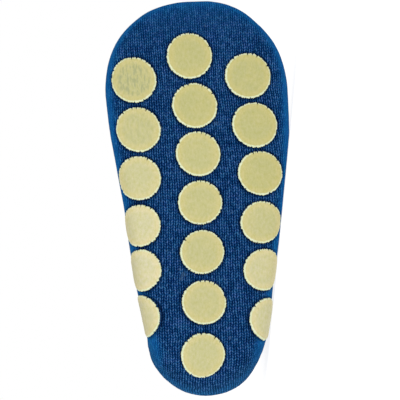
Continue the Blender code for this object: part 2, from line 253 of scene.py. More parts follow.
def section_sizes():
    """The table's sections as real sizes, one row each."""
    sole_x, sole_z, top_x, top_z, ball, heel, leg, drift, equator, low, high = np.array(SECTIONS, float).T
    half_width = (ball * BALL_WIDTH + heel * HEEL_WIDTH + leg * LEG_WIDTH) / 2
    return np.stack([along(sole_x), upward(sole_z), along(top_x), upward(top_z), half_width,
                     drift * BALL_WIDTH / 2, equator, low, high], axis=1)


def blended_section(path):
    """Sizes of the sections between the table's rows, on a smooth curve through them."""
    sizes = section_sizes()
    place = np.clip(path, 0, LAST_SECTION)
    first = np.minimum(place.astype(int), LAST_SECTION - 1)
    step = (place - first)[:, None]
    start, end = sizes[first], sizes[first + 1]
    before = sizes[np.maximum(first - 1, 0)]
    after = sizes[np.minimum(first + 2, LAST_SECTION)]
    slope_start = (end - before) / np.where(first > 0, 2, 1)[:, None]
    slope_end = (after - start) / np.where(first + 2 <= LAST_SECTION, 2, 1)[:, None]
    return (
        (2 * step**3 - 3 * step**2 + 1) * start
        + (step**3 - 2 * step**2 + step) * slope_start
        + (3 * step**2 - 2 * step**3) * end
        + (step**3 - step**2) * slope_end
    )


def rounded_off(share, curve, power):
    """How much of a size is left at a share of the toe's length."""
    return np.maximum(1 - np.clip(share, 0, 1) ** curve, 0) ** (1 / power)


def toe_section(sizes, path):
    """Shrinks the first section towards the toe tip where the path is below 0."""
    share = np.sin(np.clip(-path, 0, 1) * math.pi / 2) ** (2 / TOE_PLAN)
    sizes = sizes.copy()
    sizes[:, 0] += share * TOE_LENGTH
    sizes[:, 2] += share * TOE_LENGTH
    sole_left = rounded_off(share, TOE_SOLE_CURVE, TOE_PLAN)
    top_left = rounded_off(share, TOE_TOP_CURVE, TOE_PLAN) * (1 - TOE_TOP_SLOPE * share)
    sizes[:, 1] = TOE_TIP_HEIGHT + (sizes[:, 1] - TOE_TIP_HEIGHT) * sole_left
    sizes[:, 3] = TOE_TIP_HEIGHT + (sizes[:, 3] - TOE_TIP_HEIGHT) * top_left
    sizes[:, 4] *= rounded_off(share, TOE_PLAN, TOE_PLAN)
    sizes[:, 5] -= share * TOE_LEAN
    return sizes


def half_outline(sizes, arc_steps=64):
    """Half of each section, from the sole's middle to the top's, as distances across and up it."""
    sole_x, sole_z, top_x, top_z, half_width, _, equator, low, high = (column[:, None] for column in sizes.T)
    angle = np.linspace(0, math.pi, arc_steps + 1)[None, :]
    lower = angle <= math.pi / 2
    power = 2 / np.where(lower, low, high)
    height = np.hypot(top_x - sole_x, top_z - sole_z)
    across = half_width * np.abs(np.sin(angle)) ** power
    swing = np.abs(np.cos(angle)) ** power
    up = height * np.where(lower, equator * (1 - swing), equator + (1 - equator) * swing)
    return across, up, height


def around_lengths(across, up):
    """Length round each half outline, from the middle of the sole."""
    steps = np.hypot(np.diff(across, axis=1), np.diff(up, axis=1))
    return np.concatenate([np.zeros((len(steps), 1)), np.cumsum(steps, axis=1)], axis=1)


def read_at(values, table, wanted):
    """The value of each row of a table at the place where it reaches the wanted length."""
    after = np.clip((table < wanted[:, None]).sum(axis=1), 1, table.shape[1] - 1)
    rows = np.arange(len(table))
    low, high = table[rows, after - 1], table[rows, after]
    share = (wanted - low) / np.maximum(high - low, TINY)
    return values[rows, after - 1] * (1 - share) + values[rows, after] * share


def leg_shift(path):
    """How far the leg sags towards the floor, from nothing at the heel to its full amount at the cuff."""
    return smooth(HEEL_SECTION, LAST_SECTION, path)


def skin(path, turn, sag=0.0):
    """Points of the outer skin: path is -1 at the toe tip and 0 at the ball, and turn is 0 to 1 round it."""
    path, turn = np.broadcast_arrays(np.asarray(path, float), np.asarray(turn, float))
    shape = path.shape
    path, turn = path.ravel(), turn.ravel()
    sizes = toe_section(blended_section(path), path)
    across, up, height = half_outline(sizes)
    lengths = around_lengths(across, up)
    turn = turn % 1
    wanted = np.minimum(turn, 1 - turn) * 2 * lengths[:, -1]
    side = np.where(turn <= 0.5, 1.0, -1.0)
    out = read_at(across, lengths, wanted) * side
    rise = read_at(up, lengths, wanted) / np.maximum(height[:, 0], TINY)
    sole_x, sole_z, top_x, top_z, _, drift = sizes.T[:6]
    cuff = np.clip(path - LAST_SECTION, 0, 1) * CUFF_HEIGHT
    points = np.stack([
        sole_x + (top_x - sole_x) * rise,
        drift + out + sag * leg_shift(path),
        sole_z + (top_z - sole_z) * rise + cuff,
    ], axis=1)
    return points.reshape(shape + (3,))


def girth(path):
    """Length round the sock at each place of the path."""
    across, up, _ = half_outline(toe_section(blended_section(path), path))
    return 2 * around_lengths(across, up)[:, -1]


def skin_normal(path, turn, sag, path_nudge=0.008, turn_nudge=0.002):
    """Directions that point out of the skin."""
    down_path = skin(path + path_nudge, turn, sag) - skin(path - path_nudge, turn, sag)
    round_it = skin(path, turn + turn_nudge, sag) - skin(path, turn - turn_nudge, sag)
    return unit(np.cross(down_path, round_it))


def place_table():
    """Paths of the skin over a grid of distances from the heel's back and lengths round from the sole."""
    paths = np.linspace(NEAR_TOE_TIP, HEEL_SECTION, PLACE_STEPS)
    arounds = np.arange(-PLACE_REACH, PLACE_REACH + 1) * MM
    distances = np.linspace(0.02, 0.97, PLACE_STEPS) * FOOT_LENGTH
    reached = skin(paths[:, None], arounds[None, :] / girth(paths)[:, None])[:, :, 0]
    columns = [np.interp(distances, reached[::-1, column], paths[::-1]) for column in range(len(arounds))]
    return distances, arounds, np.stack(columns, axis=1)


def skin_place(distance, around):
    """Path and turn of the skin at a distance from the heel's back and a length round from the sole."""
    distances, arounds, paths = PLACES
    down = np.clip((distance - distances[0]) / (distances[1] - distances[0]), 0, len(distances) - 1.001)
    side = np.clip((around - arounds[0]) / (arounds[1] - arounds[0]), 0, len(arounds) - 1.001)
    row, column = down.astype(int), side.astype(int)
    down, side = down - row, side - column
    path = (paths[row, column] * (1 - down) + paths[row + 1, column] * down) * (1 - side)
    path += (paths[row, column + 1] * (1 - down) + paths[row + 1, column + 1] * down) * side
    return path, around / girth(path)


PLACES = place_table()


# How the sock lies

Rest = namedtuple("Rest", "turn height sag")


def resting():
    """Turn of the sole on the floor, height of its line over the floor, and sag of the leg."""
    path = np.linspace(NEAR_TOE_TIP, HEEL_SECTION, 160)
    points = skin(path[:, None], np.linspace(0, 0.5, 81)[None, :])
    outline = points[np.arange(len(path)), points[:, :, 1].argmax(axis=1)]
    outline = outline[outline[:, 0].argsort()]
    front, back = REST_FRONT * FOOT_LENGTH, REST_BACK * FOOT_LENGTH
    front_reach, back_reach = np.interp([front, back], outline[:, 0], outline[:, 1])
    turn = math.atan2(front_reach - back_reach - DOT_GAP - DOT_THICKNESS, front - back)
    outward = outline[:, 1] * math.cos(turn) - outline[:, 0] * math.sin(turn)
    height = outward.max() - SETTLE
    leg_point = skin(float(LAST_SECTION), 0.25)
    leg_reach = leg_point[1] * math.cos(turn) - leg_point[0] * math.sin(turn)
    sag = (height + SETTLE - (CUFF_WALL - KNIT_WALL) - leg_reach) / math.cos(turn)
    return Rest(turn, height, sag)


def lay_down(points, rest):
    """Turns upright points on their side, without the last slide that centres the sock."""
    cosine, sine = math.cos(rest.turn), math.sin(rest.turn)
    turned = np.array([[cosine, sine, 0], [0, 0, 1], [sine, -cosine, 0]])
    return points @ turned.T + np.array([0, 0, rest.height])


REST = resting()


def slide_to_frame():
    """The slide that brings the laid-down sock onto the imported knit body."""
    path = np.linspace(-1, LAST_SECTION + 1, 400)
    laid = lay_down(skin(path[:, None], np.linspace(0, 1, 193)[None, :], REST.sag).reshape(-1, 3), REST)
    low, high = (np.array(corner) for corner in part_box("knit_body"))
    slide = (low + high) / 2 - (laid.min(axis=0) + laid.max(axis=0)) / 2
    slide[2] = 0
    return slide


SLIDE = slide_to_frame()


def placed(points, lowest=0.0):
    """Points as they lie in the room, pressed flat where they would reach under the lowest height."""
    laid = lay_down(points.reshape(-1, 3), REST) + SLIDE
    laid[:, 2] = np.maximum(laid[:, 2], lowest)
    return laid.reshape(points.shape)


# Wales, courses and relief

def wale_turn(path, wale):
    """Turn of a wale, counted both ways from the middle of the sole, where wales keep their real width."""
    half = girth(np.maximum(path, 0)) / 2
    width = np.interp(path, *zip(*WALE_WIDTHS)) * MM
    share = np.abs(wale) / (WALES / 2)
    length = width * np.abs(wale) + (half - width * WALES / 2) * share**2
    return np.sign(wale) * length / half / 2


def row_paths():
    """Path of each row of the knit's mesh, evenly spread along the sole and up the back of the leg."""
    fine = np.linspace(0, LAST_SECTION, LENGTH_STEPS)
    middle = skin(fine, np.zeros_like(fine))
    length = np.concatenate([[0], np.cumsum(np.linalg.norm(np.diff(middle, axis=0), axis=1))])
    body = np.interp(np.linspace(0, length[-1], BODY_ROWS), length, fine)
    gore_row = np.abs(body - HEEL_GORE).argmin()
    body[gore_row] = HEEL_GORE
    toe = -np.linspace(1, 0, TOE_ROWS + 1)[1:-1]
    return np.concatenate([toe, body])


def outward_of(grid):
    """Directions out of a closed grid of points whose rows run from the toe to the cuff."""
    return unit(np.cross(np.gradient(grid, axis=0), np.roll(grid, -1, axis=1) - np.roll(grid, 1, axis=1)))


def distance_to_line(points, line):
    """Shortest distance from each point to a line through several places."""
    best = np.full(len(points), np.inf)
    for start, end in zip(line[:-1], line[1:]):
        run = end - start
        share = np.clip((points - start) @ run / (run @ run), 0, 1)
        best = np.minimum(best, np.linalg.norm(points - start - share[:, None] * run, axis=1))
    return best


def fold_relief(points):
    """Troughs and ridges of the soft folds at points of the skin."""
    relief = np.zeros(len(points))
    for fold in FOLDS:
        ends = np.array(fold.places)
        steps = np.linspace(0, len(ends) - 1, 6 * len(ends))
        path = np.interp(steps, np.arange(len(ends)), ends[:, 0])
        turn = np.interp(steps, np.arange(len(ends)), ends[:, 1])
        away = distance_to_line(points, skin(path, turn, REST.sag)) / fold.width
        swell = SWELL_HEIGHT * np.exp(-((away - SWELL_PLACE) / SWELL_REACH) ** 2)
        relief += fold.depth * (swell - np.exp(-away**2))
    return relief


def bulges(points):
    """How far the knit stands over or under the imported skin."""
    relief = np.zeros(len(points))
    for bulge in BULGES:
        middle = skin(bulge.path, bulge.turn, REST.sag)
        away = np.linalg.norm(points - middle, axis=1) / bulge.reach
        relief += bulge.height * np.exp(-away**2)
    return relief


def waves(points, depth, size, start):
    """Soft uneven waves of about one size over the points."""
    draw = np.random.default_rng(start)
    total = np.zeros(len(points))
    for _ in range(WAVES_ADDED_UP):
        direction = draw.normal(size=3)
        direction *= 2 * math.pi / size / np.linalg.norm(direction) * draw.uniform(0.7, 1.4)
        total += np.sin(points @ direction + draw.uniform(0, 2 * math.pi))
    return depth * total / WAVES_ADDED_UP


# Where the dots are

Dot = namedtuple("Dot", "name path turn distance around diameter")


def dot_places():
    """Where every grip dot is, and its size."""
    places = []
    rows = zip(GRIP_ROWS, SIDE_DOT_SHARE, MIDDLE_DOT_SHARE)
    for number, (row, side_share, middle_share) in enumerate(rows, start=1):
        middle = PRINT_OFFSET + row.shift * COLUMN_SPACING
        columns = [("middle", row.middle, middle, middle_share)]
        if row.spacing is not None:
            aside = row.spacing * COLUMN_SPACING
            columns.append(("upper_side", row.upper_side, middle - aside, side_share))
            columns.append(("floor_side", row.floor_side, middle + aside, side_share))
        for column, place, around, share in columns:
            distance = place * FOOT_LENGTH
            path, turn = skin_place(np.array([distance]), np.array([around]))
            diameter = row.size * DOT_DIAMETER * share
            places.append(Dot(f"{column}_{number}", path[0], turn[0], distance, around, diameter))
    return places


DOTS = dot_places()


def from_nearest_dot(points):
    """Distance over the skin from each point to the edge of the nearest grip dot."""
    nearest = np.full(len(points), np.inf)
    for dot in DOTS:
        middle = skin(dot.path, dot.turn)
        nearest = np.minimum(nearest, np.linalg.norm(points - middle, axis=1) - dot.diameter / 2)
    return nearest


# Meshes

def crossed(paths, turns):
    """Every place along the path with every turn or wale round it."""
    return np.repeat(paths, len(turns)), np.tile(turns, len(paths))


def skin_grid(path, turn, columns):
    """Points of the skin and the directions out of it, over a closed grid."""
    upright = skin(path, turn, REST.sag)
    return upright, outward_of(upright.reshape(-1, columns, 3)).reshape(-1, 3)


def grid_faces(rows, columns, flip=False):
    """Quads between closed rings of points."""
    row, column = np.mgrid[0:rows - 1, 0:columns]
    after = (column + 1) % columns
    quads = np.stack([row * columns + column, row * columns + after,
                      (row + 1) * columns + after, (row + 1) * columns + column], axis=-1).reshape(-1, 4)
    return quads[:, ::-1] if flip else quads


def fan_faces(tip, first, columns, flip=False):
    """Triangles between one point and the ring of points that begins with the first."""
    ring = np.arange(columns)
    edge = (first + ring, first + (ring + 1) % columns)
    return np.stack([np.full(columns, tip), *(edge[::-1] if flip else edge)], axis=1)


def grid_uv(first, second):
    """Places of each face's corners, from two grids of values with one column more than the faces."""
    corners = [np.stack([values[:-1, :-1], values[:-1, 1:], values[1:, 1:], values[1:, :-1]], axis=-1)
               for values in (first, second)]
    return np.stack(corners, axis=-1).reshape(-1, 4, 2)


def add_mesh(name, points, quads, material, triangles=None, maps=None, shares=None):
    """An object from arrays of points and faces, with its UV maps by name and its points' shares by name."""
    triangles = np.zeros((0, 3), int) if triangles is None else triangles
    mesh = bpy.data.meshes.new(name)
    mesh.vertices.add(len(points))
    mesh.vertices.foreach_set("co", np.asarray(points, np.float32).ravel())
    corners = np.concatenate([quads.ravel(), triangles.ravel()]).astype(np.int32)
    mesh.loops.add(len(corners))
    mesh.loops.foreach_set("vertex_index", corners)
    starts = np.concatenate([np.arange(len(quads)) * 4, len(quads) * 4 + np.arange(len(triangles)) * 3])
    mesh.polygons.add(len(starts))
    mesh.polygons.foreach_set("loop_start", starts.astype(np.int32))
    mesh.update(calc_edges=True)
    for map_name, values in (maps or {}).items():
        layer = mesh.uv_layers.new(name=map_name)
        layer.data.foreach_set("uv", np.asarray(values, np.float32).ravel())
    for share_name, values in (shares or {}).items():
        layer = mesh.attributes.new(share_name, "FLOAT", "POINT")
        layer.data.foreach_set("value", np.asarray(values, np.float32))
    mesh.validate()
    mesh.shade_smooth()
    mesh.materials.append(material)
    piece = bpy.data.objects.new(name, mesh)
    bpy.context.scene.collection.objects.link(piece)
    return piece


def keep(piece, slot, *nodes):
    """Makes a piece part of the sock."""
    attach(piece, BODY)
    if nodes:
        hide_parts(*nodes)


# Materials

# How far a stitch's legs slant, in courses, and the brightness of knit whose stitches don't show
STITCH_SLANT = -0.85
CALM_LEVEL = 0.62

# A tint is what a colour is multiplied by
# Painted sheen: a brighter, more saturated blue along the knit's sides, where it turns away from the sole
PAINTED_SIDE_SHEEN_TINT = (0.48, 1.52, 1.54)
# Painted shade in a ring round each dot, partly the darker knit that the print pulls tight
PAINTED_DOT_SHADE_TINT = (0.16, 0.28, 0.38)
COOL_TINT = (0.60, 1.18, 0.98)
WARM_TINT = (1.60, 0.86, 1.14)
SEAM_TINT = (1.1, 1.1, 1.1)
# Painted sheen: a paler print where a dot turns away from the sole
PAINTED_PRINT_SHEEN_TINT = (1.27, 1.25, 1.80)
GRAIN_TINT = (0.62, 0.60, 0.42)
DULL_PRINT_TINT = (0.93, 0.935, 0.80)
FRESH_PRINT_TINT = (1.07, 1.05, 1.18)
LINT_COLOUR = (0.12, 0.24, 0.40)


class Recipe:
    """A material's nodes, added and joined one by one."""

    def __init__(self, name):
        self.material = bpy.data.materials.new(name)
        self.material.use_nodes = True
        self.tree = self.material.node_tree
        self.surface = self.tree.nodes["Principled BSDF"]

    def feed(self, socket, value):
        """Joins a socket to another, or sets its value."""
        if isinstance(value, bpy.types.NodeSocket):
            self.tree.links.new(value, socket)
        else:
            socket.default_value = (*value, 1) if socket.type == "RGBA" else value

    def node(self, kind, inputs=None, **settings):
        """One node with its settings and inputs."""
        made = self.tree.nodes.new(kind)
        for name, value in settings.items():
            setattr(made, name, value)
        for name, value in (inputs or {}).items():
            self.feed(made.inputs[name], value)
        return made

    def calc(self, operation, *values):
        """A sum, product or other calculation."""
        made = self.node("ShaderNodeMath", operation=operation)
        for place, value in enumerate(values):
            self.feed(made.inputs[place], value)
        return made.outputs[0]

    def shift(self, cloud, amount, value):
        """A value moved up and down by a cloud that runs from 0 to 1."""
        return self.calc("MULTIPLY_ADD", self.calc("SUBTRACT", cloud, 0.5), amount, value)

    def step(self, low, high, value, to_low=0.0, to_high=1.0):
        """A soft step from to_low to to_high as the value goes from low to high."""
        made = self.node("ShaderNodeMapRange", interpolation_type="SMOOTHSTEP")
        for place, entry in enumerate((value, low, high, to_low, to_high)):
            self.feed(made.inputs[place], entry)
        return made.outputs[0]

    def mix(self, share, first, second, blend="MIX"):
        """Two colours mixed."""
        made = self.node("ShaderNodeMix", data_type="RGBA", blend_type=blend)
        for place, entry in ((0, share), (6, first), (7, second)):
            self.feed(made.inputs[place], entry)
        return made.outputs[2]

    def tint(self, share, colour, factors):
        """A colour multiplied by factors, as far as the share says."""
        return self.mix(share, colour, factors, "MULTIPLY")

    def noise(self, place, scale, detail=2.0, roughness=0.5):
        """Uneven clouds."""
        made = self.node("ShaderNodeTexNoise", {"Vector": place, "Scale": scale, "Detail": detail,
                                                "Roughness": roughness})
        return made.outputs[0]

    def knit_noise(self, wale, course, wale_scale, course_scale, roughness):
        """Clouds that are stretched along the wales."""
        wale = self.calc("MULTIPLY", wale, wale_scale)
        course = self.calc("MULTIPLY", course, course_scale)
        return self.noise(self.place(wale, course, 0.0), 1.0, 3.0, roughness)

    def ramp(self, value, *stops):
        """Colours along a value."""
        made = self.node("ShaderNodeValToRGB", {"Fac": value})
        entries = made.color_ramp.elements
        while len(entries) < len(stops):
            entries.new(0.5)
        for entry, (place, colour) in zip(entries, stops):
            entry.position = place
            entry.color = (*colour, 1)
        return made.outputs[0]

    def place(self, *values):
        """A place from three numbers."""
        made = self.node("ShaderNodeCombineXYZ")
        for number, value in enumerate(values):
            self.feed(made.inputs[number], value)
        return made.outputs[0]

    def map_values(self, name):
        """The two numbers of a UV map."""
        values = self.node("ShaderNodeUVMap", uv_map=name).outputs[0]
        split = self.node("ShaderNodeSeparateXYZ", {"Vector": values})
        return split.outputs[0], split.outputs[1]

    def share(self, name):
        """A share that the mesh's points carry."""
        return self.node("ShaderNodeAttribute", attribute_name=name).outputs["Fac"]

    def on_piece(self):
        """Places on the piece itself."""
        return self.node("ShaderNodeTexCoord").outputs["Object"]

    def finish(self, inputs, height=None, strength=1.0, depth=0.0):
        """Sets the surface's inputs and embosses it with a height."""
        for name, value in inputs.items():
            self.feed(self.surface.inputs[name], value)
        if height is not None:
            bump = self.node("ShaderNodeBump", {"Strength": strength, "Distance": depth, "Height": height})
            self.feed(self.surface.inputs["Normal"], bump.outputs[0])
        return self.material


def stitch_pattern(recipe, wale, course, slant):
    """Height of the knit, with two slanting legs to a stitch, and a brightness by chance for each leg."""
    from_middle = recipe.calc("SUBTRACT", recipe.calc("FRACT", wale), 0.5)
    across = recipe.calc("MULTIPLY", recipe.calc("ABSOLUTE", from_middle), 2.0)
    from_leg = recipe.calc("SUBTRACT", recipe.calc("MULTIPLY", across, 2.0), 1.0)
    leg = recipe.calc("SUBTRACT", 1.0, recipe.calc("ABSOLUTE", from_leg))
    phase = recipe.calc("MULTIPLY_ADD", across, slant, course)
    wave = recipe.calc("COSINE", recipe.calc("MULTIPLY", phase, 2 * math.pi))
    swell = recipe.calc("MULTIPLY_ADD", wave, -0.5, 0.5)
    thickness = recipe.calc("MULTIPLY_ADD", swell, 0.52, 0.50)
    thread = recipe.calc("MULTIPLY", recipe.calc("POWER", leg, 0.8), thickness)
    height = recipe.calc("MAXIMUM", thread, recipe.calc("MULTIPLY", swell, 0.36))
    half_wale = recipe.calc("FLOOR", recipe.calc("MULTIPLY", wale, 2.0))
    loop = recipe.place(half_wale, recipe.calc("FLOOR", phase), 0.0)
    bright = recipe.node("ShaderNodeTexWhiteNoise", {"Vector": loop}, noise_dimensions="3D").outputs["Value"]
    return height, bright


def yarn_finish(knit, dye_and_painted_light, sheen_roughness):
    """Inputs that every yarn surface has: dull, with the soft sheen of its fibres."""
    return {"Base Color": dye_and_painted_light, "Roughness": 0.95, "Specular IOR Level": 0.02, "Sheen Weight": knit.sheen,
            "Sheen Roughness": sheen_roughness, "Sheen Tint": knit.sheen_colour}


def knit_material(name, knit, seam=False):
    """Blue terry-lined knit: V stitches with painted highlight streaks and painted shade in the holes, heathered
    colour, a painted sheen on the sides, painted shade round the dots and a soft sheen.
    """
    recipe = Recipe(name)
    wale, course = recipe.map_values("stitches")
    spot = recipe.place(wale, course, 0.0)
    wale = recipe.shift(recipe.noise(spot, 0.22), 0.55, wale)
    course = recipe.shift(recipe.noise(spot, 0.61, 3.0), 1.3, course)
    height, bright = stitch_pattern(recipe, wale, course, 0.0 if seam else STITCH_SLANT)
    on_piece = recipe.on_piece()
    fluff = recipe.noise(on_piece, 2900.0, 2.0, 0.6)
    patch = recipe.noise(on_piece, 110.0, 3.0, 0.55)
    heather = recipe.noise(on_piece, 640.0, 2.0, 0.6)
    lint = recipe.step(0.735, 0.76, recipe.noise(on_piece, 330.0, 1.0), 0.0, 0.16)
    level = recipe.shift(bright, knit.unevenness, height)
    level = recipe.shift(fluff, 0.66, level)
    level = recipe.shift(patch, 0.10, level)
    if not seam:
        calm = recipe.share("calm")
        lively = recipe.calc("MULTIPLY", level, recipe.calc("SUBTRACT", 1.0, calm))
        level = recipe.calc("ADD", lively, recipe.calc("MULTIPLY", calm, CALM_LEVEL))
    # Painted light and shade: the ramp gives the holes and the yarn's shaded side painted shade, and the lit side
    # and the streaks along the loops a painted highlight
    dye_and_painted_light = recipe.ramp(level, (0.16, knit.hole_colour), (0.42, knit.yarn_colour),
                      (0.68, knit.lit_colour), (1.0, knit.streak_colour))
    if not seam:
        # Painted sheen: the side share lightens the knit into a saturated blue band along its sides
        dye_and_painted_light = recipe.tint(recipe.share("side"), dye_and_painted_light, PAINTED_SIDE_SHEEN_TINT)
    dye_and_painted_light = recipe.tint(recipe.step(0.50, 0.66, heather, 0.0, 0.40), dye_and_painted_light, COOL_TINT)
    dye_and_painted_light = recipe.tint(recipe.step(0.50, 0.34, heather, 0.0, 0.34), dye_and_painted_light, WARM_TINT)
    if not seam:
        # Painted shade round the dots, partly the darker knit that the print pulls tight
        dye_and_painted_light = recipe.tint(recipe.share("painted_dot_shade"), dye_and_painted_light, PAINTED_DOT_SHADE_TINT)
    dye_and_painted_light = recipe.mix(lint, dye_and_painted_light, LINT_COLOUR)
    if seam:
        dye_and_painted_light = recipe.tint(1.0, dye_and_painted_light, SEAM_TINT)
    raised = recipe.calc("MULTIPLY_ADD", fluff, 0.35, height)
    return recipe.finish(yarn_finish(knit, dye_and_painted_light, 0.42), raised, 0.9, knit.stitch_depth)


def terry_material(name, knit):
    """The looped inside: soft short loops, a little lighter than the outside."""
    recipe = Recipe(name)
    on_piece = recipe.on_piece()
    cells = recipe.node("ShaderNodeTexVoronoi", {"Vector": on_piece, "Scale": 900.0}, feature="F1")
    loops = recipe.step(0.0, 0.62, cells.outputs["Distance"], 1.0, 0.0)
    level = recipe.shift(recipe.noise(on_piece, 160.0, 3.0, 0.6), 0.7, loops)
    # Painted shade between the loops and painted highlight on their tops, from the knit's lit and shaded yarn
    # colours
    dye_and_painted_light = recipe.ramp(level, (0.05, knit.hole_colour), (0.45, knit.yarn_colour), (0.95, knit.lit_colour))
    return recipe.finish(yarn_finish(knit, dye_and_painted_light, 0.5), loops, 1.0, knit.loop_depth)


def grip_material(name, grip):
    """Printed rubber: a flat cream middle, a warmer ring and a pale soft rim that is partly a painted highlight.
    Dots turned to the side get a painted sheen. The knit shows through.
    """
    recipe = Recipe(name)
    right, ahead = recipe.map_values("disc")
    wale, course = recipe.map_values("stitches")
    on_piece = recipe.on_piece()
    grain = recipe.noise(on_piece, 4200.0, 2.0, 0.55)
    blotch = recipe.noise(on_piece, 420.0, 2.0, 0.55)
    cloud = recipe.noise(on_piece, 150.0)
    crumb = recipe.noise(on_piece, 1500.0, 1.0)
    mottle = recipe.knit_noise(wale, course, 2.0, 0.70, 0.65)
    streak = recipe.knit_noise(wale, course, 2.1, 0.32, 0.6)
    squares = (recipe.calc("MULTIPLY", place, place) for place in (right, ahead))
    radius = recipe.calc("SQRT", recipe.calc("ADD", *squares))
    # Painted highlight: the pale rim reaches a little further in on one side, where the light catches the bevel
    radius = recipe.calc("MULTIPLY_ADD", recipe.calc("ADD", right, ahead), -0.011, radius)
    rim_radius = recipe.shift(crumb, 0.07, radius)
    radius = recipe.shift(blotch, 0.15, rim_radius)
    body = recipe.mix(recipe.step(0.42, 0.66, cloud, 0.0, 0.35), grip.middle_colour, grip.ring_colour)
    body = recipe.mix(recipe.step(0.58, 0.84, radius, 0.0, 0.85), body, grip.ring_colour)
    # Painted sheen: the pale share makes dots that turn to the side paler
    body = recipe.tint(recipe.share("pale"), body, PAINTED_PRINT_SHEEN_TINT)
    # The pale rim is partly a painted highlight where the bevel catches the light
    body = recipe.mix(recipe.step(0.905, 0.955, rim_radius), body, grip.rim_colour)
    body = recipe.tint(recipe.step(0.60, 0.40, grain, 0.0, 0.10), body, GRAIN_TINT)
    body = recipe.tint(recipe.step(0.50, 0.66, mottle), body, DULL_PRINT_TINT)
    body = recipe.tint(recipe.step(0.50, 0.34, mottle), body, FRESH_PRINT_TINT)
    worn = recipe.calc("MULTIPLY", recipe.share("wear"), recipe.step(0.46, 0.60, streak))
    worn = recipe.calc("MULTIPLY", worn, recipe.step(0.86, 0.60, radius))
    body = recipe.mix(worn, body, grip.worn_colour)
    height, _ = stitch_pattern(recipe, wale, course, STITCH_SLANT)
    raised = recipe.calc("MULTIPLY_ADD", height, 0.35, recipe.calc("MULTIPLY", grain, 0.5))
    return recipe.finish({"Base Color": body, "Roughness": 0.55, "Specular IOR Level": 0.38},
                         raised, 0.5, grip.print_depth)


def stage_material(name, colour, glow):
    """Plain matt paper, lit softly from below."""
    return Recipe(name).finish({"Base Color": colour, "Emission Color": (1, 1, 1), "Emission Strength": glow,
                                "Roughness": 1.0, "Specular IOR Level": 0.0})


# Settings

class KnitSettings(bpy.types.PropertyGroup):
    """Yarn and stitches."""
    course_height: FloatProperty(name="Course height", description="Length of one stitch", default=0.00098,
                                 unit="LENGTH", precision=5)
    loft: FloatProperty(name="Loft", description="How far the loops stand over the packed skin",
                        default=0.00036, unit="LENGTH", precision=5)
    wale_depth: FloatProperty(name="Wale depth", description="Depth of the grooves between wales",
                              default=0.00013, unit="LENGTH", precision=5)
    stitch_depth: FloatProperty(name="Stitch depth", description="Depth of the stitches in the material",
                                default=0.00030, unit="LENGTH", precision=5)
    loop_depth: FloatProperty(name="Loop depth", description="Depth of the lining's loops in the material",
                              default=0.0005, unit="LENGTH", precision=5)
    cuff_ribs: IntProperty(name="Cuff ribs", description="Ribs round the cuff", default=48, min=12)
    rib_depth: FloatProperty(name="Rib depth", description="Depth of the cuff's ribs", default=0.0006,
                             unit="LENGTH", precision=5)
    unevenness: FloatProperty(name="Unevenness", description="How much the loops differ in brightness",
                              default=0.34, subtype="FACTOR", min=0, max=1)
    sheen: FloatProperty(name="Sheen", description="Soft shine of the fibres at the sides",
                         default=0.22, subtype="FACTOR", min=0, max=1)
    # Holes, yarn, lit yarn and streaks are lit and shaded copies of one blue yarn: painted shade in the holes and
    # on the shaded side, painted highlight on the lit side and the streaks
    hole_colour: FloatVectorProperty(name="Holes", description="Colour between the loops",
                                     subtype="COLOR", size=3, default=(0.0, 0.0048, 0.032))
    yarn_colour: FloatVectorProperty(name="Yarn", description="Colour of the yarn's shaded side",
                                     subtype="COLOR", size=3, default=(0.0006, 0.0250, 0.101))
    lit_colour: FloatVectorProperty(name="Lit yarn", description="Colour of the yarn's lit side",
                                    subtype="COLOR", size=3, default=(0.0122, 0.0705, 0.211))
    streak_colour: FloatVectorProperty(name="Streaks", description="Lightest streaks along the loops",
                                       subtype="COLOR", size=3, default=(0.070, 0.158, 0.326))
    sheen_colour: FloatVectorProperty(name="Sheen colour", description="Colour of the fibres' shine",
                                      subtype="COLOR", size=3, default=(0.05, 0.40, 0.75))


class GripSettings(bpy.types.PropertyGroup):
    """Rubber grip dots."""
    bevel: FloatProperty(name="Rim", description="Width of a dot's rounded rim",
                         default=0.0006, unit="LENGTH", precision=5)
    teeth: FloatProperty(name="Teeth", description="Depth of the notches where a print crosses the wales",
                         default=0.00072, unit="LENGTH", precision=5)
    print_depth: FloatProperty(name="Print depth", description="Depth of the knit that shows through",
                               default=0.00012, unit="LENGTH", precision=5)
    middle_colour: FloatVectorProperty(name="Middle", description="Colour of a dot's middle", subtype="COLOR",
                                       size=3, default=(0.409, 0.393, 0.162))
    ring_colour: FloatVectorProperty(name="Ring", description="Warmer colour towards the rim",
                                     subtype="COLOR", size=3, default=(0.468, 0.422, 0.160))
    rim_colour: FloatVectorProperty(name="Rim colour", description="Pale colour of the rim", subtype="COLOR",
                                    size=3, default=(0.600, 0.650, 0.430))
    worn_colour: FloatVectorProperty(name="Worn print", description="Grey-green where the print is worn",
                                     subtype="COLOR", size=3, default=(0.275, 0.290, 0.138))


